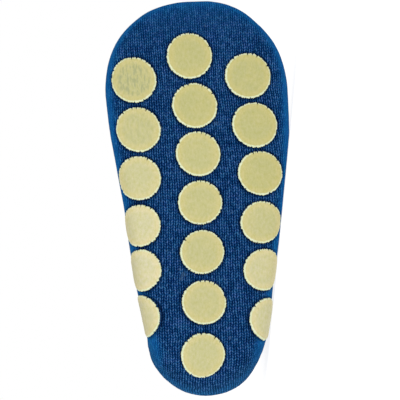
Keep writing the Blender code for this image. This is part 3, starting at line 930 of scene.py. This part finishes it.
class StageSettings(bpy.types.PropertyGroup):
    """Camera, light and floor."""
    camera_distance: FloatProperty(name="Camera distance", description="From the sole to the camera",
                                   default=0.95, unit="LENGTH")
    field: FloatProperty(name="Field", description="What the picture spans at the sole", default=0.1364,
                         unit="LENGTH", precision=5)
    roll: FloatProperty(name="Roll", description="Turn of the sock's length in the picture",
                        default=math.radians(5.45), subtype="ANGLE")
    aim_ahead: FloatProperty(name="Aim ahead", description="Picture's middle, along the floor",
                             default=-0.00078, unit="LENGTH", precision=5)
    aim_height: FloatProperty(name="Aim height", description="Picture's middle, over the floor",
                              default=0.02840, unit="LENGTH", precision=5)
    floor_colour: FloatVectorProperty(name="Floor", description="Pale floor", subtype="COLOR", size=3,
                                      default=(0.32, 0.32, 0.32))
    floor_glow: FloatProperty(name="Floor glow", description="Light that shines up through the floor",
                              default=0.86, min=0)
    room_light: FloatProperty(name="Room light", description="Even light from above", default=0.62, min=0)
    key_light: FloatProperty(name="Key light", description="Soft light over the camera, in watts",
                             default=7.0, min=0)


# Pieces

def counted_from_sole(wales):
    """Wale numbers counted both ways from the middle of the sole."""
    return np.where(wales > WALES / 2, wales - WALES, wales)


def course_counts(points, paths, height):
    """Courses along each column: the foot's, counted from the ball, and the leg's, counted from the cuff."""
    lengths = np.linalg.norm(np.diff(points, axis=0), axis=2)
    count = np.concatenate([np.zeros((1, points.shape[1])), np.cumsum(lengths, axis=0)]) / height
    ball = np.abs(paths).argmin()
    foot = count - count[ball]
    half = points.shape[1] // 2
    on_sole = np.abs((np.arange(points.shape[1]) + half) % points.shape[1] - half) < half / 2
    foot[:ball] = np.where(on_sole[None, :], foot[:ball, :1], foot[:ball, half:half + 1])
    return foot, count - count[-1]


def toe_wales(paths, wales):
    """Wale numbers at the toe, where the sides cut the wales of the sole and of the top."""
    first = girth(np.array([0.0]))[0]
    dense = np.linspace(0, WALES / 2, 400)
    dense_turn = wale_turn(np.zeros(len(dense)), dense)
    turn = np.abs(wale_turn(np.zeros(len(wales)), counted_from_sole(wales)))[None, :]
    left = (girth(np.minimum(paths, 0.0)) / first)[:, None]
    on_sole = np.interp(turn * left, dense_turn, dense)
    on_top = np.interp(0.5 - (0.5 - turn) * left, dense_turn, dense)
    return on_sole, on_top


def toe_seam_line():
    """The seam over the toes, from one side of the toe to the other."""
    return skin(np.full(40, TOE_SEAM_PATH), np.linspace(0.29, 0.71, 40), REST.sag)


class SOCK_OT_knit_outside(bpy.types.Operator):
    """Knits the outside of the foot, heel and leg in one piece"""
    bl_idname = "sock.knit_outside"
    bl_label = "Knit outside"

    seam_height, seam_reach = 0.5 * MM, 1.1 * MM
    gore_depth, gore_reach, gore_wales = 0.22 * MM, 0.16, 27
    # From a dot's edge: where the knit rises free, and where the painted shade round the dot begins and ends
    free_of_dot = (-0.2 * MM, 1.7 * MM)
    shade_begins, shade_ends = (-0.9 * MM, 0.05 * MM), (0.35 * MM, 0.95 * MM)

    def execute(self, context):
        knit = context.scene.sock_knit
        paths = row_paths()
        wales = np.arange(COLUMNS) / COLUMNS_PER_WALE
        path, wale = crossed(paths, counted_from_sole(wales))
        upright, outward = skin_grid(path, wale_turn(path, wale), COLUMNS)
        edge = from_nearest_dot(upright)
        relief = self.relief(knit, path, wale, upright, edge)
        knitted = (upright + outward * relief[:, None]).reshape(len(paths), COLUMNS, 3)
        points = np.concatenate([knitted.reshape(-1, 3), knitted[0].mean(axis=0)[None]])
        loops = self.loop_places(knitted, paths, wales, knit.course_height)
        fan_loops = np.repeat(loops[:COLUMNS, :1], 3, axis=1)
        maps = {"stitches": np.concatenate([loops.reshape(-1, 2), fan_loops.reshape(-1, 2)])}
        piece = add_mesh("outer_knit", placed(points), grid_faces(len(paths), COLUMNS),
                         knit_material("blue_terry_knit_outside", knit),
                         fan_faces(len(points) - 1, 0, COLUMNS, flip=True), maps,
                         self.shade_sheen_and_calm_shares(path, outward, edge))
        keep(piece, "blue_terry_knit", "knit_body")
        return {"FINISHED"}

    def relief(self, knit, path, wale, upright, edge):
        """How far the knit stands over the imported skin. It lies flat and close under the dots."""
        free = smooth(*self.free_of_dot, edge)
        visible = (1 - smooth(0.0, 0.35, -path)) * (1 - 0.7 * smooth(*HEEL_TURN, path))
        wave = 0.5 * knit.wale_depth * np.cos(2 * math.pi * (wale - 0.5)) * visible
        relief = knit.loft * free + wave * (0.35 + 0.65 * free)
        relief += fold_relief(upright) + bulges(upright)
        relief += waves(upright, *KNIT_SWELL) * free + waves(upright, *KNIT_RIPPLE)
        seam = distance_to_line(upright, toe_seam_line()) / self.seam_reach
        relief += self.seam_height * np.exp(-seam**2)
        gore = np.exp(-((path - HEEL_GORE) / self.gore_reach) ** 2) * (np.abs(wale) < self.gore_wales)
        return relief - self.gore_depth * gore

    def shade_sheen_and_calm_shares(self, path, outward, edge):
        """How much each point has of the painted shade round a dot, of the painted sheen on the sides and of
        calm, unseen stitches.

        The sides begin sooner at the heel, and beyond the outline they fade again.
        """
        near = smooth(*self.shade_begins, edge) * (1 - smooth(*self.shade_ends, edge))
        facing = -outward[:, 2]
        heel = smooth(*HEEL_TURN, path)
        # Painted sheen on the sides: it grows as the knit turns away from facing the sole
        side = 1 - smooth(0.60 - 0.35 * heel, 0.98 - 0.50 * heel, facing)
        side *= (1 - 0.62 * (1 - smooth(-0.05, 0.22, facing))) * (1 - 0.46 * heel)
        calm = np.maximum((0.66 - 0.36 * heel) * side, 0.44 * smooth(0.1, 0.8, -path))
        return {"painted_dot_shade": np.append(near, 0), "side": np.append(side, 1), "calm": np.append(calm, 0.7)}

    def loop_places(self, knitted, paths, wales, height):
        """Wale and course at each corner of each face: over the toe, along the foot, and up the leg."""
        rows = len(paths)
        foot, leg = (np.concatenate([count, count[:, :1]], axis=1)
                     for count in course_counts(knitted, paths, height))
        wale = np.append(wales, WALES)
        toe_sole, toe_top = (np.where(wale > WALES / 2, WALES - counted, counted)
                             for counted in toe_wales(paths, np.append(wales, 0)))
        on_body = np.tile(wale, (rows, 1))
        places = grid_uv(on_body, foot)
        face_path = np.repeat(paths[:-1], COLUMNS)
        face_wale = np.tile((np.arange(COLUMNS) + 0.5) / COLUMNS_PER_WALE, rows - 1)
        on_leg = face_path >= HEEL_GORE - TINY
        on_toe = face_path < -TINY
        on_sole = np.minimum(face_wale, WALES - face_wale) < WALES / 4
        places[on_leg] = grid_uv(on_body, leg)[on_leg]
        for chosen, toe_wale in ((on_toe & on_sole, toe_sole), (on_toe & ~on_sole, toe_top)):
            places[chosen] = grid_uv(toe_wale, foot)[chosen]
        return places


class SOCK_OT_toe_seam(bpy.types.Operator):
    """Links the toe shut with a row of small stitches over the toes"""
    bl_idname = "sock.toe_seam"
    bl_label = "Toe seam"

    sides, stitches, steps_per_stitch, yarns = 8, 44, 8, 3
    ends = (0.285, 0.715)
    thin, swell, sway, lift = 0.42 * MM, 0.22 * MM, 0.12 * MM, 0.72 * MM

    def execute(self, context):
        knit = context.scene.sock_knit
        steps = self.stitches * self.steps_per_stitch + 1
        phase = np.linspace(0, self.stitches, steps)
        path, turn = np.full(steps, TOE_SEAM_PATH), np.linspace(*self.ends, steps)
        middle = skin(path, turn, REST.sag)
        outward = skin_normal(path, turn, REST.sag)
        sideways = np.cross(outward, unit(np.gradient(middle, axis=0)))
        thickness = self.thin + self.swell * np.abs(np.sin(math.pi * phase))
        thickness *= smooth(0, 1.5, phase) * smooth(0, 1.5, self.stitches - phase) * 0.85 + 0.15
        sway = self.sway * np.sin(math.pi * phase)
        middle = middle + outward * self.lift + sideways * sway[:, None]
        angle = np.arange(self.sides) * 2 * math.pi / self.sides
        up = np.cos(angle)[None, :, None] * outward[:, None] * 0.8
        aside = np.sin(angle)[None, :, None] * sideways[:, None]
        rings = middle[:, None] + thickness[:, None, None] * (up + aside)
        round_it = np.tile(np.arange(self.sides + 1) / self.sides * self.yarns, (steps, 1))
        along_it = np.tile(phase[:, None], (1, self.sides + 1))
        piece = add_mesh("toe_seam", placed(rings).reshape(-1, 3), grid_faces(steps, self.sides),
                         knit_material("blue_terry_knit_seam", knit, seam=True),
                         maps={"stitches": grid_uv(round_it, along_it)})
        keep(piece, "blue_terry_knit")
        return {"FINISHED"}


class SOCK_OT_terry_lining(bpy.types.Operator):
    """Lines the inside with short terry loops"""
    bl_idname = "sock.terry_lining"
    bl_label = "Terry lining"

    columns, rows, toe_rows = 168, 190, 30
    loop_length, floor_gap, fold_share = 0.16 * MM, 1.5 * MM, 0.7

    def execute(self, context):
        knit = context.scene.sock_knit
        paths = np.concatenate([-np.linspace(0.97, 0, self.toe_rows)[:-1],
                                np.linspace(0, LAST_SECTION + 0.15, self.rows)])
        path, turn = crossed(paths, np.arange(self.columns) / self.columns)
        upright, outward = skin_grid(path, turn, self.columns)
        loops = np.random.default_rng(11).uniform(-1, 1, len(upright)) * self.loop_length
        relief = loops - KNIT_WALL + self.fold_share * fold_relief(upright) + waves(upright, *LINING_SWELL)
        inside = upright + outward * relief[:, None]
        points = np.concatenate([inside, inside[:self.columns].mean(axis=0)[None]])
        piece = add_mesh("terry_lining", placed(points, self.floor_gap),
                         grid_faces(len(paths), self.columns, flip=True),
                         terry_material("blue_terry_loops", knit),
                         fan_faces(len(points) - 1, 0, self.columns))
        keep(piece, "blue_terry_knit", "knit_body")
        return {"FINISHED"}


class SOCK_OT_ribbed_cuff(bpy.types.Operator):
    """Knits the doubled cuff with its ribs, turned over at the rim"""
    bl_idname = "sock.ribbed_cuff"
    bl_label = "Ribbed cuff"

    columns_per_rib, first_inner_row = 6, 34
    loft, waist = 0.25 * MM, 0.35 * MM
    rib_roundness = 0.7

    def execute(self, context):
        knit = context.scene.sock_knit
        columns = knit.cuff_ribs * self.columns_per_rib
        paths, heights, rib_shares = (np.array(values) for values in zip(*self.profile()))
        rows = len(paths)
        turns = np.arange(columns) / columns
        path, turn = crossed(paths, turns)
        upright = skin(path, turn, REST.sag)
        outward = skin_normal(np.minimum(path, LAST_SECTION - 0.05), turn, REST.sag)
        outward[:, 2] *= path < LAST_SECTION
        outward = unit(outward)
        upright[:, 2] += np.maximum(path - LAST_SECTION - 1, 0) * CUFF_HEIGHT
        rib = np.cos(2 * math.pi * knit.cuff_ribs * turn)
        rib = np.sign(rib) * np.abs(rib) ** self.rib_roundness
        inner = np.repeat(np.arange(rows) >= self.first_inner_row, columns)
        drawn_in = self.waist * np.sin(np.clip(path - LAST_SECTION, 0, 1) * math.pi)
        ribbed = np.repeat(rib_shares, columns) * knit.rib_depth / 2 * np.where(inner, -rib, rib)
        relief = np.repeat(heights, columns) + ribbed
        relief += waves(upright, *CUFF_SWELL) - np.where(inner, 0, drawn_in)
        cuff = (upright + outward * relief[:, None]).reshape(rows, columns, 3)
        steps = np.concatenate([[0], np.cumsum(np.linalg.norm(np.diff(cuff[:, 0], axis=0), axis=1))])
        count = np.tile(np.append(turns, 1.0) * WALES, (rows, 1))
        course = np.tile((steps / knit.course_height)[:, None], (1, columns + 1))
        # The cuff has a quarter of the painted sheen of the sides, none of the painted shade round the dots, and
        # a little calm
        shares = {name: np.full(len(path), share) for name, share in
                  (("painted_dot_shade", 0.0), ("side", 0.25), ("calm", 0.17))}
        piece = add_mesh("ribbed_cuff", placed(cuff).reshape(-1, 3), grid_faces(rows, columns),
                         knit_material("blue_terry_knit_cuff", knit),
                         maps={"stitches": grid_uv(count, course)}, shares=shares)
        keep(piece, "blue_terry_knit", "knit_body")
        return {"FINISHED"}

    def profile(self):
        """Path, height over the skin and share of the ribs: up the outside, over the rim and down inside."""
        outside = CUFF_WALL - KNIT_WALL + self.loft
        roll = CUFF_WALL / 2
        top = LAST_SECTION + 1 - roll / CUFF_HEIGHT
        rows = [(LAST_SECTION - 0.02, -0.5 * MM, 0.0), (LAST_SECTION + 0.005, 0.25 * MM, 0.3),
                (LAST_SECTION + 0.02, (CUFF_WALL - KNIT_WALL) * 0.75, 0.7)]
        rows += [(path, outside, 1.0) for path in np.linspace(LAST_SECTION + 0.05, top, 26)]
        rows += [(top + math.sin(angle) * roll / CUFF_HEIGHT, outside - roll * (1 - math.cos(angle)),
                  1.0 - 0.5 * angle / math.pi) for angle in np.linspace(0, math.pi, 10)[1:-1]]
        rows += [(path, outside - CUFF_WALL, 0.5) for path in np.linspace(top, LAST_SECTION - 0.25, 22)]
        rows += [(LAST_SECTION - 0.34, -KNIT_WALL - 0.1 * MM, 0.2),
                 (LAST_SECTION - 0.4, -KNIT_WALL + 0.5 * MM, 0.0)]
        return rows


class SOCK_OT_grip_dots(bpy.types.Operator):
    """Prints the rubber grip dots over the sole"""
    bl_idname = "sock.grip_dots"
    bl_label = "Grip dots"

    sides = 288
    underside, side_level, flat_top = 0.02, 0.52, 0.90
    waviness, roughness, heel_notches = 0.05 * MM, 0.12 * MM, 0.55
    # Share of each dot's print that is worn, and listed share of it that gets a painted sheen, paler than the
    # rest
    worn = {"upper_side_1": 0.75, "upper_side_2": 0.22, "floor_side_1": 0.12}
    pale = {
        "middle_3": 0.10, "middle_4": 0.13, "middle_5": 0.20, "middle_6": 0.25, "middle_7": 0.30,
        "upper_side_1": 0.10, "upper_side_2": 0.22, "upper_side_3": 0.42, "upper_side_4": 0.80,
        "upper_side_5": 1.00, "upper_side_6": 0.85,
        "floor_side_4": 0.28, "floor_side_5": 0.68, "floor_side_6": 0.80,
    }

    def execute(self, context):
        grip = context.scene.sock_grip
        knit = context.scene.sock_knit
        rubber = grip_material("cream_grip_rubber_print", grip)
        for number, dot in enumerate(DOTS):
            piece = self.print_dot(dot, number, grip, knit, rubber)
            keep(piece, "cream_grip_rubber", f"grip_dot_{dot.name}")
        return {"FINISHED"}

    def profile(self, bevel):
        """Radius and height of a dot's rings: out under it, round its rim and back over its top."""
        rings = [(radius, self.underside) for radius in (0.35, 0.75, 0.985)]
        rings += [(1.0, 0.22), (1.0, self.side_level)]
        rings += [(1 - bevel * (1 - math.cos(angle)), self.side_level + 0.42 * math.sin(angle))
                  for angle in np.linspace(0, math.pi / 2, 6)[1:]]
        rings += [(1 - 1.5 * bevel, 0.93), (1 - 2.3 * bevel, self.flat_top)]
        rings += [(radius, self.flat_top) for radius in (0.68, 0.50, 0.32, 0.15)]
        return (np.array(values) for values in zip(*rings))

    def toothed_edge(self, draw, angle, radius, around, teeth):
        """How far the print's edge strays from its circle, with notches where it crosses the wales."""
        wobble = sum(draw.normal() * np.cos(order * angle + draw.uniform(0, 6.28)) / order
                     for order in (2, 3, 4, 5))
        groove = (around - radius * np.sin(angle)) / WALE_WIDTH + draw.uniform(0, 1)
        notch = np.maximum(np.cos(2 * math.pi * groove), 0) ** 4
        notch += 0.45 * np.maximum(np.cos(4 * math.pi * groove), 0) ** 3
        toe_half = (np.cos(angle) > 0).astype(int)
        depths = draw.uniform(0.0, 1.0, (2, 40)) ** 1.3
        notch *= depths[toe_half, np.floor(groove * 2).astype(int) % 40] * np.abs(np.cos(angle)) ** 0.6
        notch *= np.where(toe_half, 1.0, self.heel_notches)
        fine = draw.normal(size=self.sides)
        fine = (fine + np.roll(fine, 1) + np.roll(fine, -1)) / 3
        return wobble * self.waviness - teeth * notch + fine * self.roughness

    def print_dot(self, dot, number, grip, knit, rubber):
        """One dot: an underside, a toothed rounded rim, and a top that follows the knit under it."""
        draw = np.random.default_rng(100 + number)
        radius = dot.diameter / 2
        standing = DOT_GAP + DOT_THICKNESS
        ring_radius, ring_height = self.profile(grip.bevel / radius)
        angle = np.arange(self.sides) * 2 * math.pi / self.sides
        edge = self.toothed_edge(draw, angle, radius, dot.around, grip.teeth)
        near_rim = np.where(ring_radius > 0.85, ring_radius, 0)
        spread = ring_radius[:, None] * radius + edge[None, :] * near_rim[:, None]
        ahead = np.append(spread * np.cos(angle), [0, 0])
        aside = np.append(spread * np.sin(angle), [0, 0])
        distances, arounds = dot.distance + ahead, dot.around - aside
        heights = standing * np.append(np.repeat(ring_height, self.sides), [self.underside, self.flat_top])
        path, turn = skin_place(distances, arounds)
        upright = skin(path, turn, REST.sag)
        upper = heights > 0.5 * standing
        ripple = waves(upright, *PRINT_RIPPLE._replace(start=PRINT_RIPPLE.start + number))
        heights = heights + upper * ripple + bulges(upright)
        outward = skin_normal(path, turn, REST.sag)
        points = placed(upright + outward * heights[:, None])
        rows, last_row = len(ring_radius), (len(ring_radius) - 1) * self.sides
        quads = grid_faces(rows, self.sides, flip=True)
        fans = np.concatenate([fan_faces(len(points) - 2, 0, self.sides),
                               fan_faces(len(points) - 1, last_row, self.sides, flip=True)])
        corners = np.concatenate([quads.ravel(), fans.ravel()])
        disc = np.stack([-aside, ahead], axis=1) / radius
        stitch = np.stack([arounds / WALE_WIDTH, distances / knit.course_height], axis=1)
        # Painted sheen: the print turns paler as it faces away from the sole's middle, or by the listed share,
        # whichever is more
        pale = np.maximum(self.pale.get(dot.name, 0.0), 1 - smooth(0.35, 0.99, -outward[:, 2]))
        shares = {"wear": np.full(len(points), self.worn.get(dot.name, 0.0)), "pale": pale}
        return add_mesh(f"grip_print_{dot.name}", points, quads, rubber, fans,
                        {"stitches": stitch[corners], "disc": disc[corners]}, shares)


class SOCK_OT_stage(bpy.types.Operator):
    """Lays a pale floor, soft light and the camera that looks at the sole"""
    bl_idname = "sock.stage"
    bl_label = "Stage"

    floor_half, floor_drop = 6.0, 0.2 * MM
    light_place, light_size = Vector((-0.30, -1.05, 0.55)), 0.6
    sock_middle = Vector((0, 0, 0.03))
    horizon, sky = 0.10, 0.30

    def execute(self, context):
        stage = context.scene.sock_stage
        corners = [(across * self.floor_half, ahead * self.floor_half, -self.floor_drop)
                   for across, ahead in ((-1, -1), (1, -1), (1, 1), (-1, 1))]
        floor = add_mesh("floor", corners, np.array([[0, 1, 2, 3]]),
                         stage_material("pale_floor", stage.floor_colour, stage.floor_glow))
        self.light_room(context, stage)
        self.add_light(context, stage)
        self.add_camera(context, stage)
        context.scene.view_settings.view_transform = "Standard"
        return {"FINISHED"}

    def light_room(self, context, stage):
        """Even light from above, brighter towards the horizon, like a lit paper sweep."""
        world = bpy.data.worlds.new("pale_room")
        world.use_nodes = True
        nodes, links = world.node_tree.nodes, world.node_tree.links
        direction = nodes.new("ShaderNodeTexCoord")
        split = nodes.new("ShaderNodeSeparateXYZ")
        belt = nodes.new("ShaderNodeMapRange")
        belt.interpolation_type = "SMOOTHSTEP"
        for place, value in enumerate((self.horizon, self.sky, 1.0, stage.room_light), start=1):
            belt.inputs[place].default_value = value
        links.new(direction.outputs["Generated"], split.inputs[0])
        links.new(split.outputs[2], belt.inputs[0])
        links.new(belt.outputs[0], nodes["Background"].inputs["Strength"])
        nodes["Background"].inputs["Color"].default_value = (1, 1, 1, 1)
        context.scene.world = world

    def add_light(self, context, stage):
        """A soft square light over the camera."""
        lamp = bpy.data.lights.new("key_light", "AREA")
        lamp.size = self.light_size
        lamp.energy = stage.key_light
        light = bpy.data.objects.new("key_light", lamp)
        light.location = self.light_place
        light.rotation_euler = (self.sock_middle - self.light_place).to_track_quat("-Z", "Y").to_euler()
        context.scene.collection.objects.link(light)

    def add_camera(self, context, stage):
        """A level camera that looks along +Y at the sole, rolled so that the toe is up."""
        lens = bpy.data.cameras.new("camera")
        lens.sensor_width = 36.0
        lens.lens = lens.sensor_width * stage.camera_distance / stage.field
        lens.clip_end = 50.0
        camera = bpy.data.objects.new("camera", lens)
        context.scene.collection.objects.link(camera)
        up = Vector((math.cos(stage.roll), 0, math.sin(stage.roll)))
        right = Vector((math.sin(stage.roll), 0, -math.cos(stage.roll)))
        turned = Matrix((right, up, right.cross(up))).transposed().to_4x4()
        turned.translation = (stage.aim_ahead, CAD_BOX[0][1] - stage.camera_distance, stage.aim_height)
        camera.matrix_world = turned
        context.scene.camera = camera


class SOCK_PT_panel(bpy.types.Panel):
    """Lists the sock's settings and pieces"""
    bl_idname = "SOCK_PT_panel"
    bl_label = "Slipper Sock"
    bl_space_type = "VIEW_3D"
    bl_region_type = "UI"
    bl_category = "Sock"

    def draw(self, context):
        for title, settings in (("Knit", context.scene.sock_knit), ("Grip dots", context.scene.sock_grip),
                                ("Stage", context.scene.sock_stage)):
            box = self.layout.box()
            box.label(text=title)
            for name in settings.__annotations__:
                box.prop(settings, name)
        for operator in OPERATORS:
            self.layout.operator(operator.bl_idname)


SETTINGS = {"sock_knit": KnitSettings, "sock_grip": GripSettings, "sock_stage": StageSettings}
OPERATORS = (SOCK_OT_knit_outside, SOCK_OT_toe_seam, SOCK_OT_terry_lining, SOCK_OT_ribbed_cuff,
             SOCK_OT_grip_dots, SOCK_OT_stage)


def register():
    for name, settings in SETTINGS.items():
        bpy.utils.register_class(settings)
        setattr(bpy.types.Scene, name, PointerProperty(type=settings))
    for entry in (*OPERATORS, SOCK_PT_panel):
        bpy.utils.register_class(entry)


def unregister():
    for entry in (SOCK_PT_panel, *reversed(OPERATORS)):
        bpy.utils.unregister_class(entry)
    for name, settings in SETTINGS.items():
        delattr(bpy.types.Scene, name)
        bpy.utils.unregister_class(settings)


def main():
    register()
    bpy.ops.sock.knit_outside()
    bpy.ops.sock.toe_seam()
    bpy.ops.sock.terry_lining()
    bpy.ops.sock.ribbed_cuff()
    bpy.ops.sock.grip_dots()
    bpy.ops.sock.stage()


if __name__ == "__main__":
    main()
